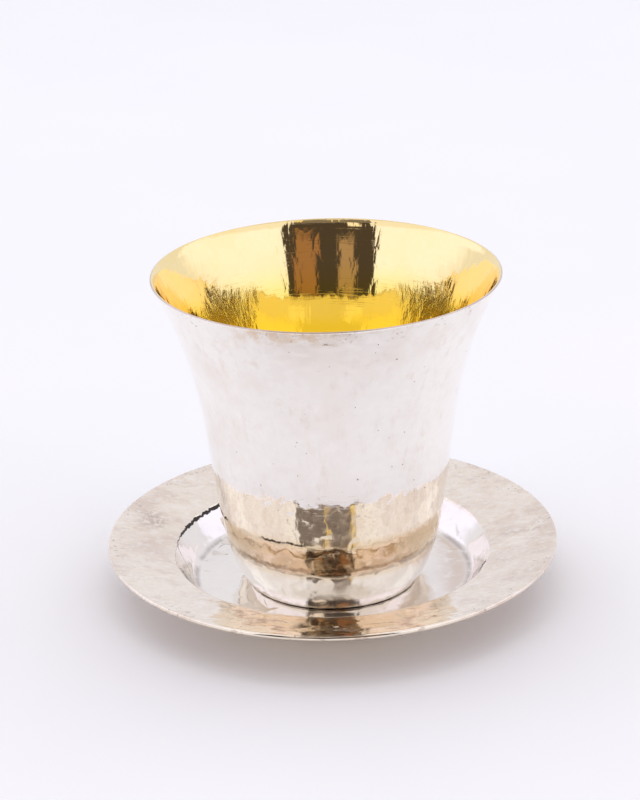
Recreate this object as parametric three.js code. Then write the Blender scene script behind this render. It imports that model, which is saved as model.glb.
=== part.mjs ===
// A hammered silver kiddush cup, gilt inside, standing in the well of its own saucer.
//
// Both pieces are turned about the Z axis. Lengths are in millimetres, +Z is up, and the origin is
// the middle of the saucer's underside, where the set stands on the table.

import * as THREE from "three";

// ---- Driving dimensions ----

const FLATS = 56; // flats round each turned piece
const ROUND_STEPS = 4; // straight steps in each rounded corner
const EDGE_BREAK = 0.2; // how far each cut edge is filed back

// The cup's outer wall passes through these rings, from its foot to its lip: radius, height above
// the cup's own underside, and how far the wall leans out for each millimetre that it rises.
const FOOT = { radius: 20.2, height: 0, lean: 0.67 };
const BELLY = { radius: 25.08, height: 12, lean: 0.2 };
const WAIST = { radius: 28.74, height: 38, lean: 0.125 };
const LIP = { radius: 39.85, height: 75, lean: 0.52 };
const RINGS = [FOOT, BELLY, WAIST, LIP];

const CUP_WALL = 0.6; // square to the wall
const CUP_FLOOR = 1.2; // height of the inside's floor above the underside
const INNER_CORNER = 2.4; // radius where that floor turns up into the wall
const FOOT_FLAT = 2.6; // width of the flat ring that the cup stands on
const FOOT_KICK = 0.4; // how far the middle of the underside is knocked up
const WALL_STEPS = 16; // straight steps up the wall
const STEP_GROWTH = 1.25; // above 1, the steps get longer towards the lip

// The saucer's upper face has two corners between its middle and its edge.
const SHEET = 1.0; // thickness of its silver sheet
const WELL_FLOOR = { radius: 33.4, height: SHEET, round: 2.6 };
const WELL_BROW = { radius: 37.3, height: SHEET + 7.1, round: 1.8 };
const SAUCER_RIM = { radius: 52.6, height: SHEET + 9.9 };

// ---- Metals ----

function makeSilver(name, roughness) {
  return new THREE.MeshStandardMaterial({
    name,
    color: new THREE.Color(0.93, 0.91, 0.88),
    roughness,
    metalness: 1,
  });
}

function makeGilding() {
  return new THREE.MeshStandardMaterial({
    name: "gilding",
    color: new THREE.Color(0.96, 0.76, 0.36),
    roughness: 0.1,
    metalness: 1,
  });
}

// ---- Section tools ----

// A place in a section: how far out from the axis, and how high.
const place = (radius, height) => new THREE.Vector2(radius, height);

// Turns a section into a solid about the Z axis. It runs from the axis out along the underside,
// and back to the axis along the top.
function turned(section) {
  return new THREE.LatheGeometry(section, FLATS).rotateX(Math.PI / 2);
}

// The arc that rounds the bend at `corner` with `radius`, redrawn `outset` further from its own
// centre, so that the two faces of one sheet bend together.
function roundedCorner(before, corner, after, radius, outset = 0) {
  const toBefore = before.clone().sub(corner).normalize();
  const toAfter = after.clone().sub(corner).normalize();
  const halfBend = Math.acos(toBefore.dot(toAfter)) / 2;
  const toCentre = toBefore.clone().add(toAfter).normalize();
  const centre = corner.clone().addScaledVector(toCentre, radius / Math.sin(halfBend));
  const touch = corner.clone().addScaledVector(toBefore, radius / Math.tan(halfBend));
  const spoke = touch.sub(centre).setLength(radius + outset);
  const turn = (Math.PI - 2 * halfBend) * Math.sign(toAfter.cross(toBefore));
  const origin = place(0, 0);
  return Array.from({ length: ROUND_STEPS + 1 }, (_, i) =>
    spoke.clone().rotateAround(origin, (turn * i) / ROUND_STEPS).add(centre),
  );
}

// ---- The cup ----

// Radius and lean of the outer wall at a height, on a smooth curve through the rings.
function outerWall(height) {
  const above = RINGS.findIndex((ring, i) => i > 0 && height <= ring.height);
  const [a, b] = [RINGS[above - 1], RINGS[above]];
  const rise = b.height - a.height;
  const t = (height - a.height) / rise;
  const s = 1 - t;
  const radius =
    a.radius * (1 + 2 * t) * s * s +
    b.radius * (3 - 2 * t) * t * t +
    rise * t * s * (a.lean * s - b.lean * t);
  const lean =
    (6 * t * s * (b.radius - a.radius)) / rise +
    a.lean * s * (1 - 3 * t) +
    b.lean * t * (3 * t - 2);
  return { radius, lean };
}

// The inner wall's place at a height: the outer wall less the metal, measured square to it.
function innerWall(height) {
  const { radius, lean } = outerWall(height);
  return place(radius - CUP_WALL * Math.hypot(1, lean), height);
}

// Heights up the wall, closer together near the foot, where it bends most.
function wallHeights(low) {
  const high = LIP.height - EDGE_BREAK;
  return Array.from(
    { length: WALL_STEPS + 1 },
    (_, i) => low + (high - low) * (i / WALL_STEPS) ** STEP_GROWTH,
  );
}

// From the middle of the underside, out to the foot, up the outer wall and onto the lip.
function cupOutside() {
  const standing = FOOT.radius - EDGE_BREAK;
  return [
    place(0, FOOT_KICK),
    place(standing - 2 * FOOT_FLAT, FOOT_KICK),
    place(standing - FOOT_FLAT, 0),
    place(standing, 0),
    ...wallHeights(2 * EDGE_BREAK).map((h) => place(outerWall(h).radius, h)),
    place(LIP.radius - EDGE_BREAK, LIP.height),
    innerWall(LIP.height).add(place(EDGE_BREAK, 0)),
  ];
}

// From just inside the lip, down the inner wall and in to the middle of the floor.
function cupInside() {
  const middle = place(0, CUP_FLOOR);
  const corner = innerWall(CUP_FLOOR);
  const wallAbove = innerWall(CUP_FLOOR + INNER_CORNER);
  const bend = roundedCorner(middle, corner, wallAbove, INNER_CORNER);
  const wall = wallHeights(bend.at(-1).y).slice(1).map(innerWall);
  return [...wall.reverse(), ...bend.reverse(), middle];
}

// Parts a turned solid between two metals: the first `steps` of its section, then the rest.
function splitMetals(geometry, steps) {
  const column = geometry.index.count / FLATS;
  const perStep = 6;
  for (let start = 0; start < geometry.index.count; start += column) {
    geometry.addGroup(start, steps * perStep, 0);
    geometry.addGroup(start + steps * perStep, column - steps * perStep, 1);
  }
}

function makeCup() {
  const outside = cupOutside();
  const geometry = turned([...outside, ...cupInside()]);
  splitMetals(geometry, outside.length);
  const cup = new THREE.Mesh(geometry, [makeSilver("hammered_silver", 0.12), makeGilding()]);
  cup.name = "cup";
  cup.position.z = SHEET; // it stands on the floor of the saucer's well
  return cup;
}

// ---- The saucer ----

// A line through the sheet, `depth` below its upper face, from the middle out to the edge.
function saucerLine(depth) {
  const middle = place(0, SHEET);
  const floor = place(WELL_FLOOR.radius, WELL_FLOOR.height);
  const brow = place(WELL_BROW.radius, WELL_BROW.height);
  const edge = place(SAUCER_RIM.radius, SAUCER_RIM.height);
  const alongRim = edge.clone().sub(brow).normalize();
  const down = place(alongRim.y, -alongRim.x);
  return [
    place(0, SHEET - depth),
    ...roundedCorner(middle, floor, brow, WELL_FLOOR.round, depth),
    ...roundedCorner(floor, brow, edge, WELL_BROW.round, -depth),
    edge.addScaledVector(down, depth),
  ];
}

// Cuts the sheet off square between the ends of its two faces, with both edges filed back.
function filedEdge(under, upper) {
  const [low, high] = [under.at(-1), upper.at(-1)];
  const up = high.clone().sub(low).setLength(EDGE_BREAK);
  const inward = place(-up.y, up.x);
  return [
    low.clone().add(inward),
    low.clone().add(up),
    high.clone().sub(up),
    high.clone().add(inward),
  ];
}

function makeSaucer() {
  const under = saucerLine(SHEET);
  const upper = saucerLine(0);
  const section = [
    ...under.slice(0, -1),
    ...filedEdge(under, upper),
    ...upper.slice(0, -1).reverse(),
  ];
  const saucer = new THREE.Mesh(turned(section), makeSilver("planished_silver", 0.2));
  saucer.name = "saucer";
  return saucer;
}

const cupAndSaucer = new THREE.Group();
cupAndSaucer.add(makeSaucer(), makeCup());
export default cupAndSaucer;
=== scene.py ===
"""A hammered silver kiddush cup, gilt inside, standing in the well of its own saucer.

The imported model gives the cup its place, height and mouth. The two solids are replaced by finer
turned pieces that carry the hammer marks, and the set stands on a pale table in a soft studio.
"""
import logging
import math
import random
from dataclasses import dataclass, field
from enum import Enum, IntEnum

import bmesh
import bpy
from mathutils import Matrix, Vector, kdtree, noise


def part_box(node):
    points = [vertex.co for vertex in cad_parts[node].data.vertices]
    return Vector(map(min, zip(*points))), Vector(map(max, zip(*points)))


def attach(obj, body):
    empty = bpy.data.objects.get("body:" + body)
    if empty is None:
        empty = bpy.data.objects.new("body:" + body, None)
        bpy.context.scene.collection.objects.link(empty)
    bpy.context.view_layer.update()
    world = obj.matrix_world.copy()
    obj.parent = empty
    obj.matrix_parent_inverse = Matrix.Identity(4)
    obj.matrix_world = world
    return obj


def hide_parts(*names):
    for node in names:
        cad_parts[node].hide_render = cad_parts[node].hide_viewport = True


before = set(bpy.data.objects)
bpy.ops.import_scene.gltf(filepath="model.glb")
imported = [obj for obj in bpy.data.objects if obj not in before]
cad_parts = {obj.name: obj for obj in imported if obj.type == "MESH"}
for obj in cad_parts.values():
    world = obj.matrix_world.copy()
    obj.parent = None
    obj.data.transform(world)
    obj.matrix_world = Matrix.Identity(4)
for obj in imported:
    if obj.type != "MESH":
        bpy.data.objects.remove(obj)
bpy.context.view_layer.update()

MM = 0.001
FULL_TURN = 2.0 * math.pi
DEGREES = 180.0 / math.pi
WELD = 0.01 * MM

log = logging.getLogger("kiddush_cup")


# ---- Sections: lines of (radius, height) that a piece is turned from ----


@dataclass(frozen=True)
class Ring:
    """A ring that a turned wall passes through.

    Args:
        radius: the wall's radius there, in metres.
        height: height above the piece's underside, in metres.
        lean: how far the wall leans out for each metre that it rises.
    """

    radius: float
    height: float
    lean: float


def wall_at(rings: tuple[Ring, ...], height: float) -> tuple[float, float]:
    """Find the radius and lean of a wall that runs smoothly through its rings.

    Args:
        rings: the wall's rings, from low to high.
        height: where to look, in metres above the underside.

    Returns:
        The radius in metres, and the lean.
    """
    above = next((i for i in range(1, len(rings)) if height <= rings[i].height), len(rings) - 1)
    low, high = rings[above - 1], rings[above]
    rise = high.height - low.height
    t = (height - low.height) / rise
    s = 1.0 - t
    radius = (low.radius * (1 + 2 * t) * s * s + high.radius * (3 - 2 * t) * t * t
              + rise * t * s * (low.lean * s - high.lean * t))
    lean = (6 * t * s * (high.radius - low.radius) / rise
            + low.lean * s * (1 - 3 * t) + high.lean * t * (3 * t - 2))
    return radius, lean


def rounded_corner(before: Vector, corner: Vector, after: Vector, radius: float,
                   outset: float = 0.0, steps: int = 12) -> list[Vector]:
    """Round the bend at a corner of a section.

    Args:
        before: the section's point before the corner.
        corner: the corner itself.
        after: the section's point after it.
        radius: the bend's radius, in metres.
        outset: how much further from the bend's centre to draw it, in metres.
        steps: number of straight steps in the bend.

    Returns:
        The points of the bend, in order.
    """
    to_before = (before - corner).normalized()
    to_after = (after - corner).normalized()
    half = math.acos(to_before.dot(to_after)) / 2.0
    centre = corner + (to_before + to_after).normalized() * (radius / math.sin(half))
    spoke = corner + to_before * (radius / math.tan(half)) - centre
    spoke = spoke.normalized() * (radius + outset)
    turn = (math.pi - 2.0 * half) * math.copysign(1.0, to_after.cross(to_before))
    return [centre + Matrix.Rotation(turn * i / steps, 2) @ spoke for i in range(steps + 1)]


def resample(line: list[Vector], pitch: float) -> list[Vector]:
    """Space a section's points evenly along it.

    Args:
        line: the section's points.
        pitch: the distance wanted between points, in metres.

    Returns:
        The new points, from the same start to the same end.
    """
    lengths = [(b - a).length for a, b in zip(line, line[1:])]
    steps = max(1, round(sum(lengths) / pitch))
    step = sum(lengths) / steps
    points, index, passed = [line[0].copy()], 0, 0.0
    for i in range(1, steps):
        while passed + lengths[index] < i * step:
            passed += lengths[index]
            index += 1
        points.append(line[index].lerp(line[index + 1], (i * step - passed) / lengths[index]))
    points.append(line[-1].copy())
    return points


# ---- Hammer work ----


@dataclass(frozen=True)
class Hammering:
    """The marks that a planishing hammer leaves all over a sheet.

    Args:
        spacing: distance between neighbouring blows, in metres.
        flat: how flat each blow is, as its radius in metres: small is deep, large is shallow.
        tilt: how far a blow may lean, as a slope.
        swell: height of the slow unevenness under the blows, in metres.
        swell_size: length of that unevenness, in metres.
        seed: start of the random numbers.
        rounds: distance between two rounds of blows, as a share of the spacing.
        stray: how far a blow may stray along or across its round, as a share of the spacing.
        neighbours: number of nearby blows of which the deepest shapes a place.
    """

    spacing: float
    flat: float
    tilt: float
    swell: float
    swell_size: float
    seed: int
    rounds: float = 0.87
    stray: float = 0.3
    neighbours: int = 5

    def blows(self, line: list[Vector]) -> tuple[kdtree.KDTree, list[tuple[Vector, Vector]]]:
        """Place the blows in rounds along a section.

        Args:
            line: the section that the face is turned from.

        Returns:
            A tree for finding the blows near a place, and each blow's centre and lean.
        """
        dice = random.Random(self.seed)
        marks: list[tuple[Vector, Vector]] = []
        for point in resample(line, self.spacing * self.rounds):
            count = max(1, round(FULL_TURN * point.x / self.spacing))
            start = dice.random() * FULL_TURN
            for i in range(count):
                angle = start + FULL_TURN * (i + dice.uniform(-self.stray, self.stray)) / count
                rise = dice.uniform(-self.stray, self.stray) * self.spacing
                centre = Vector((point.x * math.cos(angle), point.x * math.sin(angle),
                                 point.y + rise))
                lean = Vector([dice.gauss(0.0, self.tilt) for _ in range(3)])
                marks.append((centre, lean))
        tree = kdtree.KDTree(len(marks))
        for i, (centre, _) in enumerate(marks):
            tree.insert(centre, i)
        tree.balance()
        return tree, marks

    def strike(self, verts: list[bmesh.types.BMVert], line: list[Vector],
               weight: bmesh.types.BMLayerItem) -> None:
        """Beat the marks into a face of a piece.

        Args:
            verts: the face's vertices, with their normals up to date.
            line: the section that the face was turned from.
            weight: the layer that says how much each vertex may move.
        """
        tree, marks = self.blows(line)
        moves = []
        for vert in verts:
            depth = math.inf
            for _, index, distance in tree.find_n(vert.co, self.neighbours):
                centre, lean = marks[index]
                depth = min(depth, distance ** 2 / (2.0 * self.flat)
                            + lean.dot(vert.co - centre))
            swell = self.swell * noise.noise(vert.co / self.swell_size)
            moves.append(vert.normal * (depth + swell - self.swell) * vert[weight])
        for vert, move in zip(verts, moves):
            vert.co += move


# ---- Turned pieces ----


@dataclass
class MetalFace:
    """One face of a turned piece: a run of its section with one finish.

    Args:
        line: the run of the section, in order.
        pitch: distance between the rings of the mesh, in metres.
        material: index of the piece's material.
        hammering: the marks beaten into it, or None where it is left plain.
        margin: width beside the face's ends that stays unmarked, in metres.
    """

    line: list[Vector]
    pitch: float
    material: int = 0
    hammering: Hammering | None = None
    margin: float = 0.6 * MM


@dataclass
class TurnedPiece:
    """A closed piece of metal that is turned about the Z axis, face by face.

    Args:
        name: the piece's name.
        faces: its faces, which together run from the axis back to the axis.
        wedge_flats: number of flats in the wedge that is turned first.
        doublings: how many times the wedge is doubled to close the circle.
        height: height of the piece's underside, in metres.
    """

    name: str
    faces: list[MetalFace]
    wedge_flats: int
    doublings: int
    height: float

    def build(self) -> bpy.types.Object:
        """Turn the piece, beat in its hammer marks and put it in the scene.

        Returns:
            The piece, as one closed mesh.
        """
        mesh = bmesh.new()
        face_layer = mesh.verts.layers.int.new("metal_face")
        weight_layer = mesh.verts.layers.float.new("blow_weight")
        for number, face in enumerate(self.faces):
            self.turn_wedge(mesh, number, face, face_layer, weight_layer)
        self.close_circle(mesh)
        bmesh.ops.remove_doubles(mesh, verts=mesh.verts, dist=WELD)
        bmesh.ops.recalc_face_normals(mesh, faces=mesh.faces)
        mesh.normal_update()
        for number, face in enumerate(self.faces):
            if face.hammering:
                verts = [vert for vert in mesh.verts if vert[face_layer] == number]
                face.hammering.strike(verts, face.line, weight_layer)
        bmesh.ops.translate(mesh, verts=mesh.verts, vec=(0, 0, self.height))
        mesh.verts.layers.int.remove(face_layer)
        mesh.verts.layers.float.remove(weight_layer)
        return put_in_scene(self.name, mesh)

    def turn_wedge(self, mesh: bmesh.types.BMesh, number: int, face: MetalFace,
                   face_layer: bmesh.types.BMLayerItem,
                   weight_layer: bmesh.types.BMLayerItem) -> None:
        """Spin one face's line through the first wedge of the circle.

        Args:
            mesh: the mesh to add to.
            number: the face's place among the piece's faces.
            face: the face to turn.
            face_layer: the layer that takes the face's number.
            weight_layer: the layer that says how far each vertex may be beaten in.
        """
        line = resample(face.line, face.pitch)
        run = [0.0]
        for a, b in zip(line, line[1:]):
            run.append(run[-1] + (b - a).length)
        wire = []
        for point, along in zip(line, run):
            vert = mesh.verts.new((point.x, 0.0, point.y))
            vert[face_layer] = number
            from_start = along if line[0].x > 0 else math.inf
            from_end = run[-1] - along if line[-1].x > 0 else math.inf
            vert[weight_layer] = min(1.0, from_start / face.margin, from_end / face.margin)
            wire.append(vert)
        edges = [mesh.edges.new(pair) for pair in zip(wire, wire[1:])]
        old = set(mesh.faces)
        bmesh.ops.spin(mesh, geom=wire + edges, cent=(0, 0, 0), axis=(0, 0, 1), dvec=(0, 0, 0),
                       angle=FULL_TURN / 2 ** self.doublings, steps=self.wedge_flats,
                       use_merge=False, use_normal_flip=False, use_duplicate=False)
        for new in set(mesh.faces) - old:
            new.material_index = face.material
            new.smooth = True

    def close_circle(self, mesh: bmesh.types.BMesh) -> None:
        """Copy the wedge round the axis, doubling it until it meets itself.

        Args:
            mesh: the mesh, which holds the wedge and nothing else.
        """
        angle = FULL_TURN / 2 ** self.doublings
        for _ in range(self.doublings):
            copy = bmesh.ops.duplicate(mesh, geom=mesh.verts[:] + mesh.edges[:] + mesh.faces[:])
            verts = [part for part in copy["geom"] if isinstance(part, bmesh.types.BMVert)]
            bmesh.ops.rotate(mesh, verts=verts, cent=(0, 0, 0),
                             matrix=Matrix.Rotation(angle, 3, "Z"))
            angle *= 2.0


def put_in_scene(name: str, mesh: bmesh.types.BMesh) -> bpy.types.Object:
    """Make an object from a mesh under construction, and free that mesh.

    Args:
        name: the object's name.
        mesh: its mesh, in place.

    Returns:
        The new object, at the origin.
    """
    data = bpy.data.meshes.new(name)
    mesh.to_mesh(data)
    mesh.free()
    made = bpy.data.objects.new(name, data)
    bpy.context.scene.collection.objects.link(made)
    return made


# ---- Finishes ----

Socket = bpy.types.NodeSocket
Triple = tuple[float, float, float]
Colour = Triple
Layer = tuple[Socket, Colour]


class Follows(Enum):
    """What the patterns on a node sheet lie still on."""

    PIECE = "Object"
    SKY = "Generated"


@dataclass
class NodeSheet:
    """The nodes of one finish, or of the surroundings, added by short calls.

    Args:
        tree: the node tree to add to.
        follows: what its patterns lie still on.
    """

    tree: bpy.types.NodeTree
    follows: Follows = Follows.PIECE

    def __post_init__(self) -> None:
        """Find the place that is coloured, and its x, y and z."""
        self.place = self.add("ShaderNodeTexCoord", {}).outputs[self.follows.value]
        self.x, self.y, self.z = self.add("ShaderNodeSeparateXYZ", {0: self.place}).outputs

    def add(self, kind: str, inputs: dict[str | int, object], **settings: object) -> bpy.types.Node:
        """Add a node.

        Args:
            kind: the node's type.
            inputs: what each named input gets: a value, or another node's socket.
            settings: the node's own settings.

        Returns:
            The new node.
        """
        node = self.tree.nodes.new(kind)
        for name, value in settings.items():
            setattr(node, name, value)
        for name, value in inputs.items():
            if isinstance(value, Socket):
                self.tree.links.new(value, node.inputs[name])
            else:
                node.inputs[name].default_value = value
        return node

    def maths(self, operation: str, *values: object) -> Socket:
        """Add a sum of numbers or sockets and return its result."""
        return self.add("ShaderNodeMath", dict(enumerate(values)), operation=operation).outputs[0]

    def ramp(self, value: Socket, low: float, high: float, top: float = 1.0) -> Socket:
        """Rise smoothly from 0 where a value is at low, to top where it is at high."""
        node = self.add("ShaderNodeMapRange",
                        {"Value": value, "From Min": low, "From Max": high, "To Max": top},
                        interpolation_type="SMOOTHSTEP")
        return node.outputs[0]

    def band(self, value: Socket, middle: float, half: float, soft: float) -> Socket:
        """Give 1 within half of the middle, and 0 beyond it, with a soft edge."""
        distance = self.maths("ABSOLUTE", self.maths("SUBTRACT", value, middle))
        return self.ramp(distance, half + soft / 2, half - soft / 2)

    def both(self, *masks: Socket) -> Socket:
        """Multiply masks together.

        Args:
            masks: the masks.

        Returns:
            A mask that is 1 only where they all are.
        """
        product = masks[0]
        for mask in masks[1:]:
            product = self.maths("MULTIPLY", product, mask)
        return product

    def noise(self, size: float, detail: float = 2.0, rough: float = 0.5,
              drawn: Socket | None = None) -> Socket:
        """Add noise with lumps of about one size, in metres, drawn out if a place is given."""
        return self.add("ShaderNodeTexNoise", {
            "Vector": drawn or self.place, "Scale": 1.0 / size, "Detail": detail,
            "Roughness": rough}).outputs["Fac"]

    def cells(self, size: float, place: Socket) -> bpy.types.Node:
        """Add cells of about one size, in metres."""
        return self.add("ShaderNodeTexVoronoi", {"Vector": place, "Scale": 1.0 / size})

    def mix(self, amount: Socket, under: object, over: object) -> Socket:
        """Mix two colours, where amount is 1 for the second."""
        node = self.add("ShaderNodeMix", {0: amount, 6: under, 7: over}, data_type="RGBA")
        return node.outputs[2]

    def lay(self, colour: Socket, layers: list[Layer]) -> Socket:
        """Lay colours over one another.

        Args:
            colour: the colour underneath.
            layers: the mask and the colour of each layer, from the lowest.

        Returns:
            The colour with all its layers.
        """
        for mask, tone in layers:
            colour = self.mix(mask, colour, rgba(tone))
        return colour

    def drawn(self, scale: Triple, turn: Triple = (0.0, 0.0, 0.0)) -> Socket:
        """Scale and turn the place, which draws a pattern out where the scale is below 1."""
        return self.add("ShaderNodeMapping", {"Vector": self.place, "Scale": scale,
                                              "Rotation": turn}).outputs[0]

    def bump(self, height: Socket, depth: float, under: Socket | None = None,
             sunk: bool = False) -> Socket:
        """Raise a pattern from a surface, or sink it.

        Args:
            height: the pattern.
            depth: how far it is raised or sunk where it is 1, in metres.
            under: the normal of the relief under it, if there is any.
            sunk: True to sink it.

        Returns:
            The normal of the surface with the pattern.
        """
        inputs: dict[str | int, object] = {"Height": height, "Distance": depth}
        if under:
            inputs["Normal"] = under
        return self.add("ShaderNodeBump", inputs, invert=sunk).outputs[0]


def rgba(colour: Colour) -> tuple[float, float, float, float]:
    """Add full cover to a colour."""
    return (*colour, 1.0)


@dataclass(frozen=True)
class Cloud:
    """A soft pattern of lumps or strokes in a finish.

    Args:
        size: size of the lumps, in metres.
        low: the noise, from 0 to 1, at which the pattern begins.
        high: the noise at which it is full.
        cover: how far it covers there, from 0 to 1.
        detail: how many rounds of finer lumps it has.
        rough: how strong those are.
        scale: how the place is scaled, which draws the lumps out where it is below 1.
        turn: how the place is turned, in radians.
    """

    size: float
    low: float
    high: float
    cover: float = 1.0
    detail: float = 2.0
    rough: float = 0.5
    scale: Triple | None = None
    turn: Triple = (0.0, 0.0, 0.0)

    def mask(self, sheet: NodeSheet, share: float = 1.0) -> Socket:
        """Draw the pattern.

        Args:
            sheet: the nodes to add to.
            share: share of the cover that is wanted.

        Returns:
            A mask that is 0 where there is none of it.
        """
        drawn = sheet.drawn(self.scale, self.turn) if self.scale else None
        lumps = sheet.noise(self.size, self.detail, self.rough, drawn)
        return sheet.ramp(lumps, self.low, self.high, self.cover * share)


@dataclass(frozen=True)
class Metal:
    """What the metals' finishes have in common.

    Args:
        name: the material's name.
        colour: the clean metal's colour.
        tarnish: its colour where it has tarnished.
        tarnished: how much of that colour the tarnish takes on, from 0 to 1.
        roughness: roughness where it is cleanest.
        dulling: what scratches and tarnish add to the roughness.
    """

    name: str
    colour: Colour
    tarnish: Colour
    tarnished: float
    roughness: float
    dulling: float

    def make(self) -> bpy.types.Material:
        """Make the material.

        Returns:
            The material, with its metal coloured, tarnished, scratched and marked.
        """
        material = bpy.data.materials.new(self.name)
        material.use_nodes = True
        sheet = NodeSheet(material.node_tree)
        shader = material.node_tree.nodes["Principled BSDF"]
        shader.inputs["Metallic"].default_value = 1.0
        broad = Cloud(16 * MM, 0.42, 0.72, 1.0, 5.0, 0.6).mask(sheet, self.tarnished)
        mottle = Cloud(1.6 * MM, 0.3, 0.8, 0.5, 6.0, 0.7).mask(sheet, self.tarnished)
        colour = sheet.mix(broad, rgba(self.colour), rgba(self.tarnish))
        colour = sheet.mix(mottle, colour, rgba(self.tarnish))
        scratch = self.scratches(sheet)
        colour, wear = self.marks(sheet, colour)
        dull = sheet.maths("ADD", sheet.maths("ADD", scratch, broad), wear)
        dull = sheet.maths("MULTIPLY", dull, self.dulling)
        links = material.node_tree.links
        links.new(colour, shader.inputs["Base Color"])
        links.new(sheet.maths("ADD", dull, self.roughness), shader.inputs["Roughness"])
        links.new(self.relief(sheet, scratch), shader.inputs["Normal"])
        return material

    def scratches(self, sheet: NodeSheet) -> Socket:
        """Draw fine scratches, mostly level or steep.

        Args:
            sheet: the finish's nodes.

        Returns:
            A mask that is 1 in a scratch.
        """
        level = Cloud(0.22 * MM, 0.62, 0.78, scale=(0.06, 0.06, 1.0), turn=(0.0, 0.08, 0.0))
        steep = Cloud(0.25 * MM, 0.66, 0.8, scale=(1.0, 0.7, 0.05), turn=(0.5, 0.3, 0.0))
        return sheet.maths("MAXIMUM", level.mask(sheet), steep.mask(sheet))

    def marks(self, sheet: NodeSheet, colour: Socket) -> tuple[Socket, Socket]:
        """Add the marks that only this metal has.

        Args:
            sheet: the finish's nodes.
            colour: the metal's colour so far.

        Returns:
            The colour with the marks, and how much they dull the metal, from 0 to 1.
        """
        return colour, Cloud(5 * MM, 0.5, 0.8).mask(sheet)

    def relief(self, sheet: NodeSheet, scratch: Socket) -> Socket:
        """Press the scratches into the metal and return its normal."""
        return sheet.bump(scratch, 0.002 * MM, sunk=True)


def pits(sheet: NodeSheet, place: Socket, spacing: float, size: float, share: float) -> Socket:
    """Scatter small round pits.

    Args:
        sheet: the finish's nodes.
        place: the place on the piece, bent where the pits are to be less round.
        spacing: distance between the places where a pit may lie, in metres.
        size: each hole's radius, in metres.
        share: share of those places that do have one.

    Returns:
        A mask that is 1 in a hole.
    """
    cells = sheet.cells(spacing, place)
    near = sheet.ramp(cells.outputs["Distance"], 1.2 * size / spacing, 0.7 * size / spacing)
    draw = sheet.add("ShaderNodeSeparateColor", {0: cells.outputs["Color"]}).outputs[0]
    return sheet.both(near, sheet.maths("LESS_THAN", draw, share))


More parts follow.
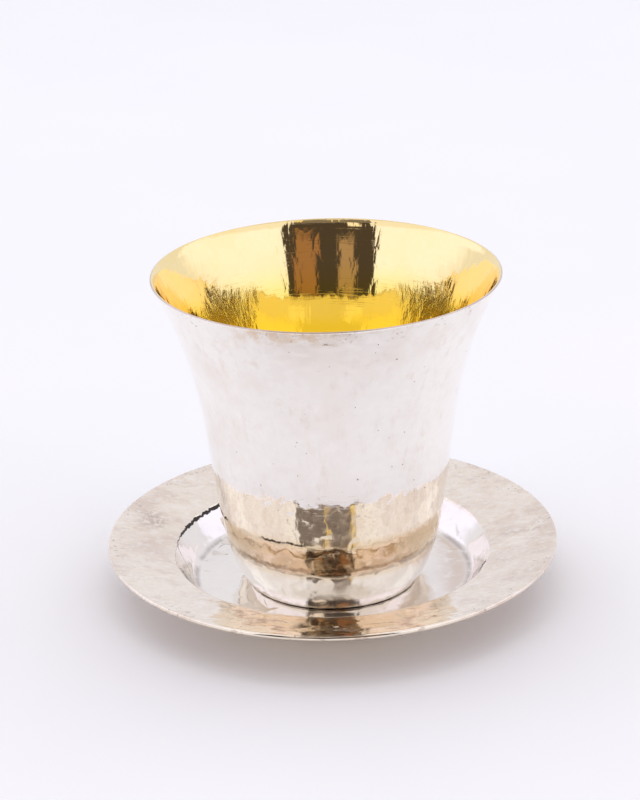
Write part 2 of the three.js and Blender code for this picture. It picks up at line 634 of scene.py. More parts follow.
@dataclass(frozen=True)
class CupSilver(Metal):
    """Hammered silver with dark pin pits, tarnish below the lip, and painted reflections.

    Args:
        pits_and_reflection_dark: the colour in a pin hole, and of the dark reflection painted above
            the belly.
        warm_reflection: the colour of the warm reflection painted below the lip at the front.
        front_reflection: the colour of a warm reflection painted down the front.
        belly_reflection: the colour of the belly, a painted reflection of the saucer round it.
        grime_and_reflection: the colour of the dark flecks below the lip, and of the ragged dark
            reflection painted where the belly turns in.
        lip_marks_top: height of the marks below the lip, in metres, as are the other lengths.
        belly: the heights that the belly's painted reflection lies between.
        turn: height of the ragged line, before it is shaken.
        shake: how far that line is shaken up and down.
        dark_reflection_rise: how far above it a short dark reflection is painted.
        pit_bend: how far the pits are bent out of round.
        grain: depth of the fine upright grain.
    """

    pits_and_reflection_dark: Colour = (0.10, 0.085, 0.075)
    warm_reflection: Colour = (0.80, 0.65, 0.50)
    front_reflection: Colour = (0.92, 0.865, 0.80)
    belly_reflection: Colour = (0.895, 0.79, 0.65)
    grime_and_reflection: Colour = (0.34, 0.26, 0.20)
    lip_marks_top: float = 75 * MM
    belly: tuple[float, float] = (10.5 * MM, 20.5 * MM)
    turn: float = 14.2 * MM
    shake: float = 2.4 * MM
    dark_reflection_rise: float = 6.9 * MM
    pit_bend: float = 0.4 * MM
    grain: float = 0.012 * MM

    def marks(self, sheet: NodeSheet, colour: Socket) -> tuple[Socket, Socket]:
        """Add the pits, the tarnish and the painted reflections.

        Args:
            sheet: the finish's nodes.
            colour: the metal's colour so far.

        Returns:
            The colour with the marks, and how much they dull the metal.
        """
        holes = self.pin_pits(sheet)
        upright = (1.0, 1.0, 0.35)
        smudge = sheet.both(Cloud(2.0 * MM, 0.49, 0.68, 0.6, 5.0, 0.65, upright).mask(sheet),
                            Cloud(9 * MM, 0.4, 0.62).mask(sheet))
        # Painted reflection: the brown round the belly stands in for the saucer's warm silver
        # mirrored there.
        belly = sheet.both(sheet.ramp(sheet.z, self.belly[0] - 1 * MM, self.belly[0] + 1 * MM),
                           sheet.ramp(sheet.z, self.belly[1] + 1 * MM, self.belly[1] - 1 * MM))
        # Painted reflection: a warm strip down the front stands in for the warm floor and shadow in
        # front of the cup, mirrored in it.
        front = sheet.both(self.strip(sheet, 0.0, 5 * MM, 12 * MM),
                           Cloud(6 * MM, 0.3, 0.6, 0.6, 3.0, 0.5, upright).mask(sheet))
        colour = sheet.lay(colour, [
            (front, self.front_reflection),
            (belly, self.belly_reflection),
            *self.lines(sheet),
            *self.lip_stains_and_reflection(sheet),
            (smudge, self.tarnish),
            (holes, self.pits_and_reflection_dark),
        ])
        foot = sheet.ramp(sheet.z, self.belly[0] + 1 * MM, self.belly[0] - 2 * MM)
        return colour, sheet.maths("ADD", sheet.maths("MAXIMUM", holes, smudge), foot)

    def strip(self, sheet: NodeSheet, middle: float, half: float, soft: float) -> Socket:
        """Find an upright strip of the front; its middle is a distance to the right."""
        return sheet.both(sheet.band(sheet.x, middle, half, soft),
                          sheet.ramp(sheet.y, 0.0, -10 * MM))

    def pin_pits(self, sheet: NodeSheet) -> Socket:
        """Scatter large and small pits over the wall above the belly.

        Args:
            sheet: the finish's nodes.

        Returns:
            A mask that is 1 in a pit.
        """
        ragged = sheet.add("ShaderNodeTexNoise", {"Vector": sheet.place,
                                                  "Scale": 1.0 / (0.5 * MM)})
        bend = sheet.add("ShaderNodeVectorMath",
                         {0: ragged.outputs["Color"], 1: (self.pit_bend,) * 3, 2: sheet.place},
                         operation="MULTIPLY_ADD")
        bent = bend.outputs[0]
        holes = sheet.maths("MAXIMUM", pits(sheet, bent, 4.9 * MM, 0.22 * MM, 0.4),
                            pits(sheet, bent, 2.6 * MM, 0.13 * MM, 0.4))
        return sheet.both(holes, sheet.ramp(sheet.z, self.belly[1], self.belly[1] + 3 * MM))

    def lines(self, sheet: NodeSheet) -> list[Layer]:
        """Draw the ragged line where the belly turns in, and the short line above it, both painted
        dark reflections.

        Args:
            sheet: the finish's nodes.

        Returns:
            Their layers.
        """
        # Painted reflections: both lines below stand in for the saucer's dark brow, mirrored in the
        # belly.
        lift = sheet.maths("MULTIPLY", sheet.noise(2.4 * MM, 4.0, 0.65), self.shake)
        shaken = sheet.maths("ADD", sheet.z, lift)
        turn = sheet.both(sheet.band(shaken, self.turn, 0.5 * MM, 0.7 * MM),
                          Cloud(9 * MM, 0.35, 0.55, 0.7).mask(sheet))
        painted_dark_reflection = sheet.both(sheet.band(shaken, self.turn + self.dark_reflection_rise, 0.3 * MM, 0.2 * MM),
                          self.strip(sheet, -11 * MM, 5 * MM, 2 * MM))
        return [(turn, self.grime_and_reflection), (painted_dark_reflection, self.pits_and_reflection_dark)]

    def lip_stains_and_reflection(self, sheet: NodeSheet) -> list[Layer]:
        """Draw the warm reflection painted at the front, the tarnish all round and the dark flecks.

        Args:
            sheet: the finish's nodes.

        Returns:
            Their layers.
        """
        top = self.lip_marks_top
        # Painted reflection: the warm tint below the lip at the front stands in for the warm shadow
        # in front of the saucer, mirrored in the cup.
        warm = sheet.both(self.strip(sheet, -8 * MM, 11 * MM, 8 * MM),
                          sheet.ramp(sheet.z, top - 4 * MM, top - 1 * MM),
                          Cloud(2.4 * MM, 0.36, 0.62, 0.9, 4.0, 0.6).mask(sheet))
        under_lip = sheet.both(sheet.ramp(sheet.z, top - 9 * MM, top, 0.5),
                               Cloud(3.6 * MM, 0.45, 0.75, 1.0, 4.0, 0.6).mask(sheet))
        flecks = sheet.both(sheet.ramp(sheet.z, top - 4 * MM, top, 0.7),
                            Cloud(0.9 * MM, 0.60, 0.68, 1.0, 3.0, 0.6).mask(sheet),
                            Cloud(8 * MM, 0.45, 0.6).mask(sheet))
        return [(warm, self.warm_reflection), (under_lip, self.tarnish), (flecks, self.grime_and_reflection)]

    def relief(self, sheet: NodeSheet, scratch: Socket) -> Socket:
        """Press in the fine upright grain, and the scratches over it."""
        grain = sheet.noise(0.7 * MM, 3.0, 0.6, sheet.drawn((1.0, 1.0, 0.3)))
        return sheet.bump(scratch, 0.003 * MM, sheet.bump(grain, self.grain), sunk=True)


@dataclass(frozen=True)
class Gilding(Metal):
    """Gilding, with upright ripples left by the hammer under it.

    Args:
        ripple: width of the larger ripples, in metres, as are the other lengths.
        ripple_flat: how flat they are, as their radius.
        fine_ripple: the smaller ripples' width and flatness, as shares of the larger ones'.
        deep: the colour down in the cup.
        deep_below: height of the middle of the change to that colour.
        rub_aside: how far to each side of the axis the two worn patches lie.
        rub_full: height below which they are fully worn.
        rub_depth: depth of their streaks.
    """

    ripple: float = 3.0 * MM
    ripple_flat: float = 80 * MM
    fine_ripple: tuple[float, float] = (0.35, 0.5)
    # deep: the deeper yellow down in the cup, painted for light bounced round inside the gilding.
    deep: Colour = (0.98, 0.765, 0.17)
    deep_below: float = 63 * MM
    rub_aside: float = 23 * MM
    rub_full: float = 61 * MM
    rub_depth: float = 0.20 * MM

    def marks(self, sheet: NodeSheet, colour: Socket) -> tuple[Socket, Socket]:
        """Deepen the colour down in the cup. This is painted light: the paler gold above is a
        painted highlight, and the deeper yellow below stands for light bounced round inside the
        gilding.

        Args:
            sheet: the finish's nodes.
            colour: the metal's colour so far.

        Returns:
            The colour with the change, and how much the wear dulls it.
        """
        # Painted light: paler gold above for burnt-out highlights, deeper yellow below for light
        # bounced inside the gilding.
        deep = sheet.ramp(sheet.z, self.deep_below + 5 * MM, self.deep_below - 5 * MM)
        smears = Cloud(3 * MM, 0.5, 0.75, 1.0, 4.0, 0.5, (1.0, 1.0, 0.3)).mask(sheet)
        worn = sheet.maths("MULTIPLY", self.rubbed(sheet), 3.0)
        return sheet.mix(deep, colour, rgba(self.deep)), sheet.maths("MAXIMUM", smears, worn)

    def rubbed(self, sheet: NodeSheet) -> Socket:
        """Find the two worn patches at the back, left and right."""
        aside = sheet.band(sheet.maths("ABSOLUTE", sheet.x), self.rub_aside, 6 * MM, 5 * MM)
        return sheet.both(aside, sheet.ramp(sheet.y, 0.0, 8 * MM),
                          sheet.ramp(sheet.z, self.rub_full + 6 * MM, self.rub_full))

    def scratches(self, sheet: NodeSheet) -> Socket:
        """Draw fine level scratches, left by wiping the cup round."""
        return Cloud(0.3 * MM, 0.55, 0.75, 1.0, 3.0, 0.5, (0.03, 0.03, 1.0)).mask(sheet)

    def relief(self, sheet: NodeSheet, scratch: Socket) -> Socket:
        """Press in the ripples, the streaks of the worn patches and the scratches.

        Args:
            sheet: the finish's nodes.
            scratch: the scratches.

        Returns:
            The metal's normal.
        """
        drawn = sheet.drawn((1.0, 1.0, 0.35))
        normal = None
        for width, flatness in ((1.0, 1.0), self.fine_ripple):
            size = width * self.ripple
            hollow = sheet.maths("POWER", sheet.cells(size, drawn).outputs["Distance"], 2.0)
            normal = sheet.bump(hollow, size ** 2 / (2 * flatness * self.ripple_flat), normal)
        streaks = sheet.noise(1.4 * MM, 3.0, 0.6, sheet.drawn((1.0, 1.0, 0.25)))
        normal = sheet.bump(sheet.both(streaks, self.rubbed(sheet)), self.rub_depth, normal)
        return sheet.bump(scratch, 0.004 * MM, normal, sunk=True)


@dataclass(frozen=True)
class SaucerSilver(Metal):
    """Scratch-brushed silver, with a dark reflection painted along its brow, painted shade in the
    crease of its well and painted reflections at the front.

    Args:
        bright: the colour in the brush's freshest strokes.
        wear_and_reflection_brown: the colour of the worn spots at the left and right, and of the
            brown reflections painted at the front.
        front_reflection: the colour of a warm reflection painted at the front.
        well: the colour of the well, which is cleaner than the rim.
        brow_dark_reflection: the colour of the black line painted along the brow as a dark
            reflection.
        ring: the colour of the shade painted in the crease round the well's floor.
        specks: the colour of the specks near the edge.
        brow: radius and height of the brow, in metres.
        crease: radius and height of the crease round the well's floor, in metres.
        edge: radius of the edge, in metres.
        strokes: the directions of the brush's strokes, in radians.
    """

    bright: Colour = (0.98, 0.94, 0.89)
    wear_and_reflection_brown: Colour = (0.52, 0.40, 0.34)
    front_reflection: Colour = (0.985, 0.90, 0.75)
    well: Colour = (0.90, 0.87, 0.83)
    brow_dark_reflection: Colour = (0.05, 0.042, 0.038)
    ring: Colour = (0.32, 0.27, 0.25)
    specks: Colour = (0.42, 0.36, 0.32)
    brow: tuple[float, float] = (37.1 * MM, 7.5 * MM)
    crease: tuple[float, float] = (32.3 * MM, 1.4 * MM)
    edge: float = 52.6 * MM
    strokes: tuple[float, float, float] = (0.4, 1.5, 2.5)

    def scratches(self, sheet: NodeSheet) -> Socket:
        """Draw the short strokes of a scratch brush, in three directions.

        Args:
            sheet: the finish's nodes.

        Returns:
            A mask that is 1 in a stroke.
        """
        deepest = None
        for turn in self.strokes:
            stroke = Cloud(0.35 * MM, 0.6, 0.85, 1.0, 3.0, 0.5, (0.16, 1.0, 0.5),
                           (0.0, 0.0, turn)).mask(sheet)
            deepest = sheet.maths("MAXIMUM", deepest, stroke) if deepest else stroke
        return deepest

    def marks(self, sheet: NodeSheet, colour: Socket) -> tuple[Socket, Socket]:
        """Add the clean well, the brushed rim, the worn spots, and the painted reflections and
        shade.

        Args:
            sheet: the finish's nodes.
            colour: the metal's colour so far.

        Returns:
            The colour with the marks, and how much they dull the metal.
        """
        squares = [sheet.maths("MULTIPLY", side, side) for side in (sheet.x, sheet.y)]
        radius = sheet.maths("SQRT", sheet.maths("ADD", *squares))
        ragged = sheet.noise(1.3 * MM, 4.0, 0.65)
        lumps = sheet.noise(3.5 * MM, 4.0, 0.6)
        # Painted shade: a darker ring in the crease round the well's floor.
        ring = sheet.both(sheet.band(radius, self.crease[0], 0.5 * MM, 1.3 * MM),
                          sheet.ramp(sheet.z, self.crease[1] + 1.4 * MM, self.crease[1]),
                          sheet.ramp(lumps, 0.3, 0.6, 0.65))
        specks = sheet.both(sheet.ramp(radius, self.edge - 9 * MM, self.edge - 1 * MM),
                            Cloud(0.9 * MM, 0.56, 0.70, 0.8, 3.0, 0.6).mask(sheet),
                            Cloud(10 * MM, 0.44, 0.6).mask(sheet))
        # Painted reflection: the black line along the brow stands in for a dark reflection there.
        line = self.brow_line(sheet, radius, ragged)
        colour = sheet.lay(colour, [
            *self.well_clouds(sheet, radius, lumps),
            *self.rim_strokes(sheet, radius),
            *self.front_reflections(sheet, lumps),
            (self.side_rubs(sheet, ragged), self.wear_and_reflection_brown),
            (ring, self.ring),
            (specks, self.specks),
            (line, self.brow_dark_reflection),
        ])
        return colour, sheet.maths("MAXIMUM", line, sheet.ramp(lumps, 0.4, 0.75))

    def well_clouds(self, sheet: NodeSheet, radius: Socket, lumps: Socket) -> list[Layer]:
        """Clean the well, and leave a cloud of tarnish at the right of its floor.

        Args:
            sheet: the finish's nodes.
            radius: distance from the axis.
            lumps: coarse noise.

        Returns:
            The two layers.
        """
        well = sheet.ramp(radius, self.brow[0] + 0.1 * MM, self.brow[0] - 0.5 * MM, 0.65)
        cloud = sheet.both(sheet.ramp(sheet.x, 23 * MM, 29 * MM, 0.8),
                           sheet.ramp(radius, self.crease[0] + 1 * MM, self.crease[0] - 2 * MM),
                           sheet.ramp(lumps, 0.25, 0.55))
        return [(well, self.well), (cloud, self.tarnish)]

    def rim_strokes(self, sheet: NodeSheet, radius: Socket) -> list[Layer]:
        """Brush the rim with broad dark strokes and finer bright ones.

        Args:
            sheet: the finish's nodes.
            radius: distance from the axis.

        Returns:
            A layer for each kind of stroke.
        """
        rim = sheet.ramp(radius, self.brow[0] - 0.5 * MM, self.brow[0] + 0.1 * MM)
        layers = []
        for turn, size, tone in ((0.9, 3.2 * MM, self.tarnish), (2.2, 1.3 * MM, self.bright)):
            stroke = Cloud(size, 0.48, 0.68, 0.42, 4.0, 0.65, (0.6, 1.0, 0.8), (0.0, 0.0, turn))
            layers.append((sheet.both(stroke.mask(sheet), rim), tone))
        return layers

    def front_reflections(self, sheet: NodeSheet, lumps: Socket) -> list[Layer]:
        """Paint a warm reflection at the front, with level brown reflections in it.

        Args:
            sheet: the finish's nodes.
            lumps: coarse noise.

        Returns:
            The film's layer and the spots' layer.
        """
        # Painted reflections: a warm tint at the front of the rim, with brown level patches in it.
        front = sheet.both(sheet.ramp(sheet.y, -26 * MM, -38 * MM),
                           sheet.band(sheet.x, 0.0, 25 * MM, 9 * MM))
        spots = Cloud(1.6 * MM, 0.59, 0.64, 0.5, 2.0, 0.5, (0.5, 1.0, 1.0)).mask(sheet)
        return [(sheet.both(front, sheet.ramp(lumps, 0.2, 0.5, 0.8)), self.front_reflection),
                (sheet.both(front, spots), self.wear_and_reflection_brown)]

    def side_rubs(self, sheet: NodeSheet, ragged: Socket) -> Socket:
        """Find the worn spots at the left and right of the rim.

        Args:
            sheet: the finish's nodes.
            ragged: fine noise.

        Returns:
            A mask that is 1 in them.
        """
        left = sheet.both(sheet.band(sheet.x, -43 * MM, 3 * MM, 4 * MM),
                          sheet.band(sheet.y, 13 * MM, 4 * MM, 5 * MM))
        right = sheet.both(sheet.band(sheet.x, 45 * MM, 6 * MM, 4 * MM),
                           sheet.band(sheet.y, 2 * MM, 0.5 * MM, 3 * MM))
        return sheet.both(sheet.maths("ADD", left, right), sheet.ramp(ragged, 0.38, 0.58, 0.7))

    def brow_line(self, sheet: NodeSheet, radius: Socket, ragged: Socket) -> Socket:
        """Draw the black line painted along the brow as a dark reflection, which runs down into the
        well at its end.

        Args:
            sheet: the finish's nodes.
            radius: distance from the axis.
            ragged: fine noise.

        Returns:
            A mask that is 1 in the line.
        """
        left = sheet.maths("MULTIPLY", sheet.maths("ARCTAN2", sheet.x, sheet.y), -DEGREES)
        out = sheet.maths("MULTIPLY", sheet.maths("SUBTRACT", radius, self.brow[0]), 0.5)
        up = sheet.maths("MULTIPLY", sheet.maths("SUBTRACT", sheet.z, self.brow[1]), 0.87)
        across = sheet.maths("ADD", out, up)
        drop = sheet.ramp(left, 84.0, 96.0, 5.5 * MM)
        shake = sheet.maths("MULTIPLY", sheet.maths("SUBTRACT", ragged, 0.5), 1.6 * MM)
        off = sheet.maths("ABSOLUTE", sheet.maths("ADD", sheet.maths("ADD", across, drop), shake))
        thick = sheet.both(sheet.ramp(left, 82.0, 68.0, 0.30 * MM), sheet.ramp(left, 26.0, 44.0))
        half = sheet.maths("ADD", thick, 0.12 * MM)
        inside = sheet.ramp(sheet.maths("SUBTRACT", off, half), 0.06 * MM, -0.06 * MM)
        return sheet.both(inside, sheet.ramp(left, 24.0, 30.0), sheet.ramp(left, 98.0, 92.0))


# ---- The pieces ----


class CupMetal(IntEnum):
    """The cup's metals, in the order of its materials."""

    SILVER = 0
    GILDING = 1
    WORN_LIP = 2


@dataclass
class Cup:
    """The flared cup: silver outside and underneath, gilt inside.

    Args:
        wall: thickness of the wall, in metres, as are the other lengths.
        floor: height of the inside's floor above the underside.
        inner_corner: radius where that floor turns up into the wall.
        foot_corner: radius where the underside turns up into the wall.
        foot_flat: width of the flat ring that the cup stands on.
        foot_kick: how far the middle of the underside is knocked up.
        lip_corner: how far each edge of the lip is rubbed down.
        lip_worn: share of the lip's top, from the outside, where the gilding has worn off.
        rise_steps: number of straight steps that each side of the wall is drawn in.
        wedge_flats: flats in the wedge that is turned first.
        doublings: how many times that wedge is doubled.
        rings: the rings that the outer wall passes through.
        outer_blows: the marks outside.
        inner_blows: the marks inside.
        silver: the finish outside and underneath.
        gilding: the finish inside.
        lip: the finish of the lip's worn edge.
    """

    wall: float = 0.6 * MM
    floor: float = 1.2 * MM
    inner_corner: float = 2.4 * MM
    foot_corner: float = 1.0 * MM
    foot_flat: float = 2.6 * MM
    foot_kick: float = 0.4 * MM
    lip_corner: float = 0.2 * MM
    lip_worn: float = 0.6
    rise_steps: int = 60
    wedge_flats: int = 13
    doublings: int = 5
    rings: tuple[Ring, ...] = (
        Ring(20.2 * MM, 0.0, 0.67),
        Ring(25.08 * MM, 12.0 * MM, 0.20),
        Ring(28.74 * MM, 38.0 * MM, 0.125),
        Ring(39.85 * MM, 75.0 * MM, 0.52),
    )
    outer_blows: Hammering = Hammering(2.5 * MM, 170 * MM, 0.011, 0.02 * MM, 14 * MM, 7)
    inner_blows: Hammering = Hammering(6.0 * MM, 900 * MM, 0.001, 0.04 * MM, 16 * MM, 8)
    silver: Metal = CupSilver("hammered_silver", (0.98, 0.95, 0.905), (0.84, 0.76, 0.68), 0.5,
                              0.03, 0.08)
    # The gilding's pale colour is a painted highlight near the lip; Gilding.marks deepens it lower
    # down.
    gilding: Metal = Gilding("gilding", (1.0, 0.815, 0.43), (0.97, 0.745, 0.31), 0.5, 0.03, 0.06)
    lip: Metal = Metal("worn_lip", (0.76, 0.65, 0.57), (0.55, 0.44, 0.37), 0.7, 0.30, 0.15)

    def outside(self, height: float) -> Vector:
        """Give the outer wall's point at a height."""
        return Vector((wall_at(self.rings, height)[0], height))

    def inside(self, height: float) -> Vector:
        """Give the inner wall's point at a height."""
        radius, lean = wall_at(self.rings, height)
        return Vector((radius - self.wall * math.hypot(1.0, lean), height))

    def heights(self, low: float, top: float) -> list[float]:
        """Give the heights of a wall's steps, above low and up to the lip's rubbed edge."""
        rise = top - self.lip_corner - low
        return [low + rise * i / self.rise_steps for i in range(1, self.rise_steps + 1)]

    def build(self) -> bpy.types.Object:
        """Build the cup's mesh.

        Returns:
            The cup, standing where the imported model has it.
        """
        low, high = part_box("cup")
        top = high[2] - low[2]
        foot = self.rings[0].radius
        kick = Vector((foot - 2 * self.foot_flat, self.foot_kick))
        stand = Vector((foot - self.foot_flat, 0.0))
        corner = rounded_corner(stand, Vector((foot, 0.0)), self.outside(2 * self.foot_corner),
                                self.foot_corner, steps=6)
        underside = [Vector((0.0, self.foot_kick)), kick, stand, corner[0]]
        rise = [self.outside(height) for height in self.heights(corner[-1].y, top)]
        lip_out = Vector((high[0] - self.lip_corner, top))
        lip_in = self.inside(top) + Vector((self.lip_corner, 0.0))
        lip_top = lip_out.lerp(lip_in, self.lip_worn)
        bend = rounded_corner(Vector((0.0, self.floor)), self.inside(self.floor),
                              self.inside(self.floor + self.inner_corner), self.inner_corner)
        fall = [self.inside(height) for height in reversed(self.heights(bend[-1].y, top))]
        floor = Vector((0.0, self.floor))
        faces = [
            MetalFace(underside, 2.0 * MM, CupMetal.SILVER),
            MetalFace(corner + rise, 0.46 * MM, CupMetal.SILVER, self.outer_blows),
            MetalFace([rise[-1], lip_out, lip_top], self.lip_corner, CupMetal.WORN_LIP),
            MetalFace([lip_top, lip_in, fall[0]], self.lip_corner, CupMetal.GILDING),
            MetalFace(fall + bend[::-1] + [floor], 1.8 * MM, CupMetal.GILDING, self.inner_blows),
        ]
        return TurnedPiece("cup_body", faces, self.wedge_flats, self.doublings, low[2]).build()

    def dress(self, cup: bpy.types.Object) -> None:
        """Give the cup its metals, in the order of CupMetal."""
        for metal in (self.silver, self.gilding, self.lip):
            cup.data.materials.append(metal.make())


@dataclass
class Saucer:
    """The saucer: one silver sheet with a flat well and a broad rim.

    Args:
        sheet: thickness of the sheet, in metres.
        flat: radius of the flat middle, beyond which the floor is dished a little.
        floor: where the well's floor would meet its wall, as radius and height.
        brow: where the well's wall would meet the rim.
        edge: where the rim ends.
        floor_round: radius of the corner at the floor.
        brow_round: radius of the corner at the brow.
        edge_cut: how far both edges of the rim are filed back.
        wedge_flats: flats in the wedge that is turned first.
        doublings: how many times that wedge is doubled.
        blows: the marks in the upper face.
        silver: the finish.
    """

    sheet: float = 1.0 * MM
    flat: float = 21.0 * MM
    floor: Vector = field(default_factory=lambda: Vector((32.6, 1.5)) * MM)
    brow: Vector = field(default_factory=lambda: Vector((37.3, 8.1)) * MM)
    edge: Vector = field(default_factory=lambda: Vector((52.6, 10.9)) * MM)
    floor_round: float = 2.6 * MM
    brow_round: float = 1.8 * MM
    edge_cut: float = 0.25 * MM
    wedge_flats: int = 12
    doublings: int = 5
    blows: Hammering = Hammering(3.4 * MM, 150 * MM, 0.016, 0.05 * MM, 16 * MM, 11)
    silver: Metal = SaucerSilver("planished_silver", (0.94, 0.845, 0.72), (0.70, 0.565, 0.47), 0.6,
                                 0.04, 0.10)

    def line(self, depth: float) -> list[Vector]:
        """Draw a line through the sheet. Only the upper face is dished.

        Args:
            depth: how far below the upper face, in metres.

        Returns:
            The line's points, from the axis to the edge.
        """
        middle = Vector((self.flat, self.sheet))
        floor = self.floor if depth == 0.0 else Vector((self.floor.x, self.sheet))
        along = (self.edge - self.brow).normalized()
        down = Vector((along.y, -along.x))
        return [
            Vector((0.0, self.sheet - depth)),
            middle - Vector((0.0, depth)),
            *rounded_corner(middle, floor, self.brow, self.floor_round, depth),
            *rounded_corner(floor, self.brow, self.edge, self.brow_round, -depth),
            self.edge + down * depth,
        ]

    def build(self) -> bpy.types.Object:
        """Build the saucer's mesh.

        Returns:
            The saucer, standing on the table.
        """
        under, upper = self.line(self.sheet), self.line(0.0)
        inward = (upper[-2] - upper[-1]).normalized() * self.edge_cut
        up = (upper[-1] - under[-1]).normalized() * self.edge_cut
        rim = [under[-1] + inward, under[-1] + up, upper[-1] - up, upper[-1] + inward]
        under[-1] = rim[0]
        upper[-1] = rim[-1]
        faces = [
            MetalFace(under, 1.5 * MM),
            MetalFace(rim, self.edge_cut),
            MetalFace(upper[::-1], 0.5 * MM, hammering=self.blows),
        ]
        return TurnedPiece("saucer_sheet", faces, self.wedge_flats, self.doublings, 0.0).build()

    def dress(self, saucer: bpy.types.Object) -> None:
        """Give the saucer its silver."""
        saucer.data.materials.append(self.silver.make())


# ---- The studio ----


@dataclass(frozen=True)
class Patch:
    """A patch of the surroundings, seen from the set.

    Args:
        azimuth: compass bearing of its middle, in degrees from +Y towards +X.
        elevation: height of its middle above the horizon, in degrees.
        width: half its width, in degrees.
        height: half its height, in degrees.
        colour: its brightness in red, green and blue.
        soft: width of its soft edge, in degrees.
    """

    azimuth: float
    elevation: float
    width: float
    height: float
    colour: Colour
    soft: float = 4.0


@dataclass
class Surroundings:
    """The light that falls on the set from all round, painted by direction.

    Args:
        base: the brightness where there is no patch.
        patches: the patches, each painted over those before it.
    """

    base: Colour = (0.88, 0.882, 0.955)
    patches: tuple[Patch, ...] = (
        Patch(180, 12, 110, 62, (0.98, 0.97, 1.02), 20),
        Patch(104, 26, 44, 14, (1.14, 1.14, 1.36), 8),
        Patch(266, 26, 48, 14, (1.14, 1.14, 1.36), 8),
        Patch(48, 50, 16, 8, (1.10, 1.12, 1.20), 8),
        Patch(306, 50, 14, 8, (1.10, 1.12, 1.20), 8),
        Patch(180, 73, 180, 7, (0.82, 0.78, 0.76), 6),
        Patch(180, 90, 180, 10, (0.45, 0.41, 0.39), 8),
        Patch(180, 0, 95, 11, (0.72, 0.595, 0.50), 4),
        Patch(165, 66, 15, 6, (0.42, 0.37, 0.34), 4),
        Patch(187, 57, 38, 6.5, (0.225, 0.19, 0.18), 2),
        Patch(184, 22, 35, 29, (0.075, 0.058, 0.05), 2),
        Patch(165, 23, 8, 9, (0.36, 0.185, 0.09), 3),
        Patch(196.5, 22, 6, 8, (0.42, 0.28, 0.18), 4),
        Patch(203.5, 44, 4, 8, (1.1, 1.0, 0.9), 4),
        Patch(187, 60, 1.6, 4, (1.0, 0.75, 0.28), 1),
        Patch(153, 60, 2.5, 4, (1.1, 0.85, 0.35), 2),
    )

    def build(self) -> None:
        """Build the world's nodes."""
        world = bpy.data.worlds.new("studio_light")
        bpy.context.scene.world = world
        world.use_nodes = True
        world.node_tree.nodes.clear()
        sheet = NodeSheet(world.node_tree, Follows.SKY)
        bearing = sheet.maths("MULTIPLY", sheet.maths("ARCTAN2", sheet.x, sheet.y), DEGREES)
        height = sheet.maths("MULTIPLY", sheet.maths("ARCSINE", sheet.z), DEGREES)
        colour: object = rgba(self.base)
        for patch in self.patches:
            turned = sheet.maths("ABSOLUTE", sheet.maths("SUBTRACT", bearing, patch.azimuth))
            aside = sheet.maths("PINGPONG", turned, 180.0)
            cover = sheet.both(sheet.band(aside, 0.0, patch.width, patch.soft),
                               sheet.band(height, patch.elevation, patch.height, patch.soft))
            colour = sheet.mix(cover, colour, rgba(patch.colour))
        background = sheet.add("ShaderNodeBackground", {"Color": colour})
        sheet.add("ShaderNodeOutputWorld", {"Surface": background.outputs[0]})


@dataclass(frozen=True)
class Lamp:
    """A broad soft lamp that faces the set.

    Args:
        name: its name.
        place: where it hangs, in metres.
        size: its width and depth, in metres.
        power: its power, in watts.
        colour: the colour of its light.
    """

    name: str
    place: tuple[float, float, float]
    size: tuple[float, float]
    power: float
    colour: Colour = (1.0, 1.0, 1.0)

    def hang(self) -> None:
        """Hang the lamp so that it lights the set but mirrors in nothing."""
        data = bpy.data.lights.new(self.name, "AREA")
        data.shape = "RECTANGLE"
        data.size, data.size_y = self.size
        data.energy = self.power
        data.color = self.colour
        lamp = bpy.data.objects.new(self.name, data)
        lamp.location = self.place
        lamp.rotation_euler = Vector(self.place).to_track_quat("Z", "Y").to_euler()
        lamp.visible_glossy = False
        bpy.context.scene.collection.objects.link(lamp)


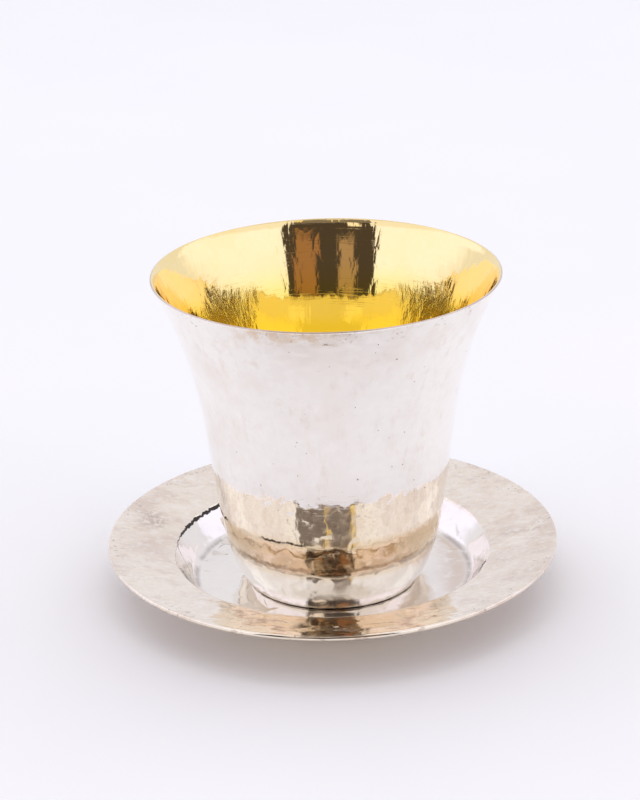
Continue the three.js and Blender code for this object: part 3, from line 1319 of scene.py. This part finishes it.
@dataclass
class Studio:
    """The table, the light and the camera.

    Args:
        table_radius: radius of the table, in metres.
        table_sides: number of sides that its round edge is drawn with.
        table_white: the table's colour.
        table_shade: its colour in faint clouds, as a share of that.
        table_rough: its roughness.
        table_shine: how strongly it mirrors.
        lamps: its lamps, which mirror in nothing.
        camera_place: where the camera stands, in metres.
        pan: how far the camera is turned to the right, in radians.
        tilt: how far it looks down, in radians.
        roll: how far it leans, in radians.
        lens: its focal length, in millimetres.
        film_width: the width of its sensor, in millimetres.
        sight: the nearest and furthest that it sees, in metres.
    """

    table_radius: float = 3.0
    table_sides: int = 128
    table_white: Colour = (0.90, 0.90, 0.915)
    table_shade: float = 0.985
    table_rough: float = 0.55
    table_shine: float = 0.2
    lamps: tuple[Lamp, ...] = (
        Lamp("soft_lamp", (0.0, 0.45, 1.1), (1.6, 0.8), 4.2),
        Lamp("fill_lamp", (0.0, -0.95, 0.22), (0.9, 0.25), 2.7, (1.0, 0.84, 0.72)),
    )
    camera_place: Vector = field(default_factory=lambda: Vector((0.0, -0.51796, 0.25346)))
    pan: float = -0.004
    tilt: float = 0.383
    roll: float = -0.026
    lens: float = 109.08
    film_width: float = 36.0
    sight: tuple[float, float] = (0.01, 50.0)

    def build(self) -> None:
        """Build the whole studio."""
        self.lay_table()
        Surroundings().build()
        for lamp in self.lamps:
            lamp.hang()
        self.set_camera()

    def lay_table(self) -> None:
        """Lay the pale table."""
        mesh = bmesh.new()
        bmesh.ops.create_circle(mesh, cap_ends=True, radius=self.table_radius,
                                  segments=self.table_sides)
        table = put_in_scene("table", mesh)
        material = bpy.data.materials.new("table_white")
        material.use_nodes = True
        sheet = NodeSheet(material.node_tree)
        shader = material.node_tree.nodes["Principled BSDF"]
        shader.inputs["Roughness"].default_value = self.table_rough
        shader.inputs["Specular IOR Level"].default_value = self.table_shine
        shade = tuple(self.table_shade * part for part in self.table_white)
        colour = sheet.mix(Cloud(90 * MM, 0.3, 0.7).mask(sheet), rgba(self.table_white),
                           rgba(shade))
        material.node_tree.links.new(colour, shader.inputs["Base Color"])
        table.data.materials.append(material)

    def set_camera(self) -> None:
        """Set the camera in its place and turn it to the set."""
        data = bpy.data.cameras.new("camera")
        data.lens = self.lens
        data.sensor_width = self.film_width
        data.clip_start, data.clip_end = self.sight
        camera = bpy.data.objects.new("camera", data)
        bpy.context.scene.collection.objects.link(camera)
        forward = Vector((math.sin(self.pan) * math.cos(self.tilt),
                          math.cos(self.pan) * math.cos(self.tilt), -math.sin(self.tilt)))
        right = Vector((math.cos(self.pan), -math.sin(self.pan), 0.0))
        up = right.cross(forward)
        lean, level = math.sin(self.roll), math.cos(self.roll)
        right, up = right * level + up * lean, up * level - right * lean
        turn = Matrix((right, up, -forward)).transposed().to_4x4()
        camera.matrix_world = Matrix.Translation(self.camera_place) @ turn
        bpy.context.scene.camera = camera


class Stand(Enum):
    """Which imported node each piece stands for, and the slot of its finish."""

    CUP = ("cup", "hammered_silver")
    SAUCER = ("saucer", "planished_silver")


def place_piece(piece: bpy.types.Object, stand: Stand) -> None:
    """Put a piece in its node's stead, on the set's one body.

    Args:
        piece: the piece.
        stand: the node that it stands for.
    """
    node, slot = stand.value
    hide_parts(node)
    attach(piece, "root")
    log.info("%s: %d faces", piece.name, len(piece.data.polygons))


def main() -> None:
    """Build the set and its studio."""
    logging.basicConfig(level=logging.INFO, format="%(name)s: %(message)s")
    bpy.context.scene.view_settings.view_transform = "Standard"
    Studio().build()
    saucer = Saucer()
    saucer_sheet = saucer.build()
    saucer.dress(saucer_sheet)
    place_piece(saucer_sheet, Stand.SAUCER)
    cup = Cup()
    cup_body = cup.build()
    cup.dress(cup_body)
    place_piece(cup_body, Stand.CUP)


if __name__ == "__main__":
    main()
